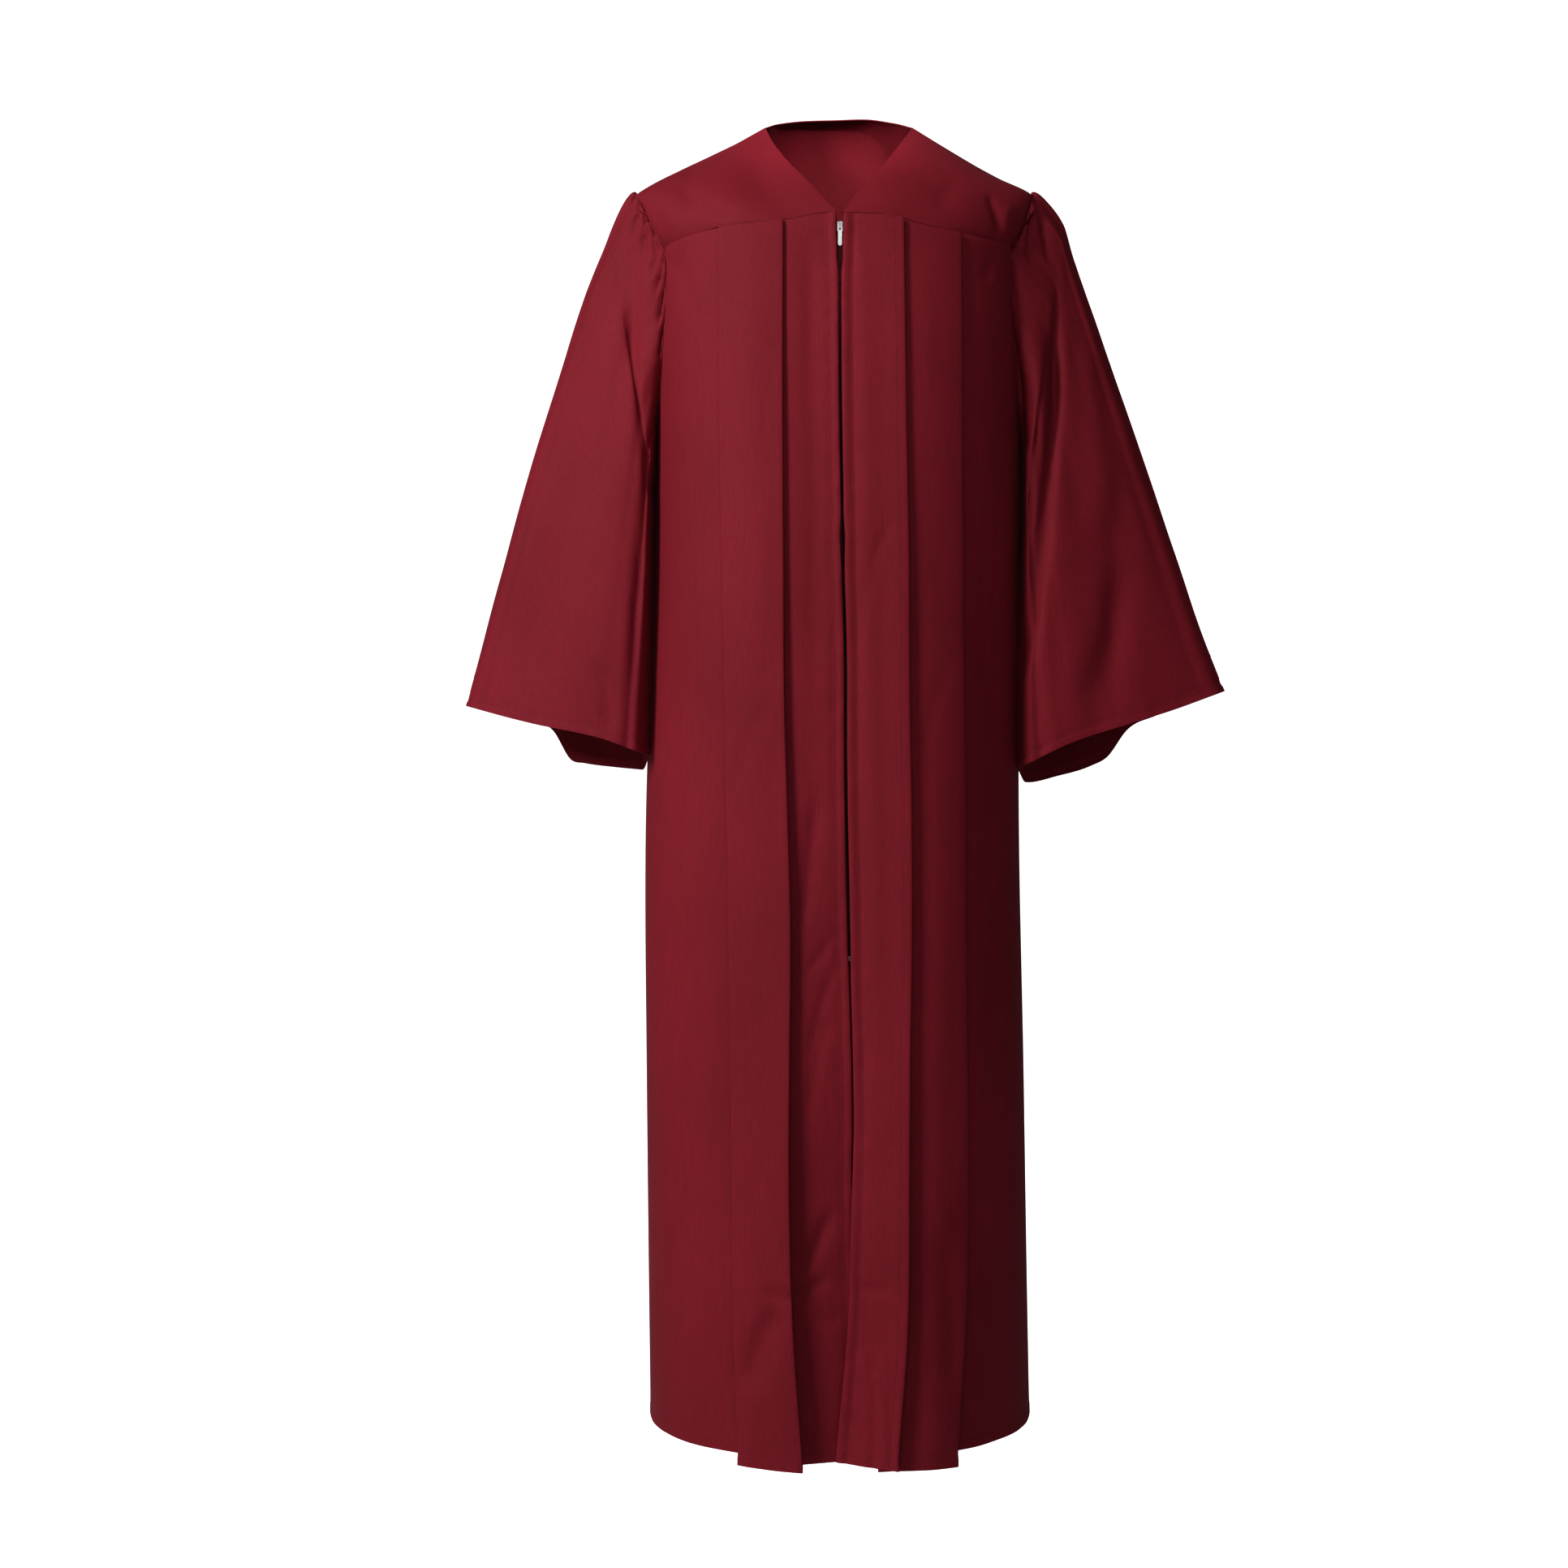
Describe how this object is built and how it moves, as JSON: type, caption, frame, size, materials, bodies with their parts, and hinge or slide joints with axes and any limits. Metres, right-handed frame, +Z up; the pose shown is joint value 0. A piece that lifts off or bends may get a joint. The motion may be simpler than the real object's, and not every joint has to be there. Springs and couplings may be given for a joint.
{
  "type": "choir robe",
  "caption": "Full-length burgundy choir robe with a V neck, yoke, pleated fronts, gathered open sleeves and a front zip, holding its worn shape.",
  "frame": {"origin": "midway between the two points where the neck edge meets the shoulders, where the wearer holds the robe up", "axes": "+X to the wearer's left, +Y behind the wearer, +Z up"},
  "size_m": [0.7967, 0.3822, 1.3947],
  "materials": {
    "cloth": "matt burgundy polyester, fine plain weave with a slight sheen",
    "zip_tape": "dark red woven tape",
    "zip_metal": "nickel plated, satin, lightly worn; the slider is darker than its tab"
  },
  "bodies": {
    "garment": {"front_right": "cloth", "front_left": "cloth", "back": "cloth", "yoke_front_right": "cloth", "yoke_front_left": "cloth", "yoke_back": "cloth", "sleeve_right": "cloth", "sleeve_left": "cloth", "zip_tape_right": "zip_tape", "zip_tape_left": "zip_tape", "zip_slider": "zip_metal", "zip_bottom_stop": "zip_metal"},
    "pull_tab": {"zip_pull_tab": "zip_metal"}
  },
  "joints": [
    {"name": "pull_tab_swing", "type": "hinge", "parent": "garment", "child": "pull_tab", "pos_m": [0, -0.12012, -0.13323], "axis": [-1, 0, 0], "range_deg": [0, 150]}
  ]
}
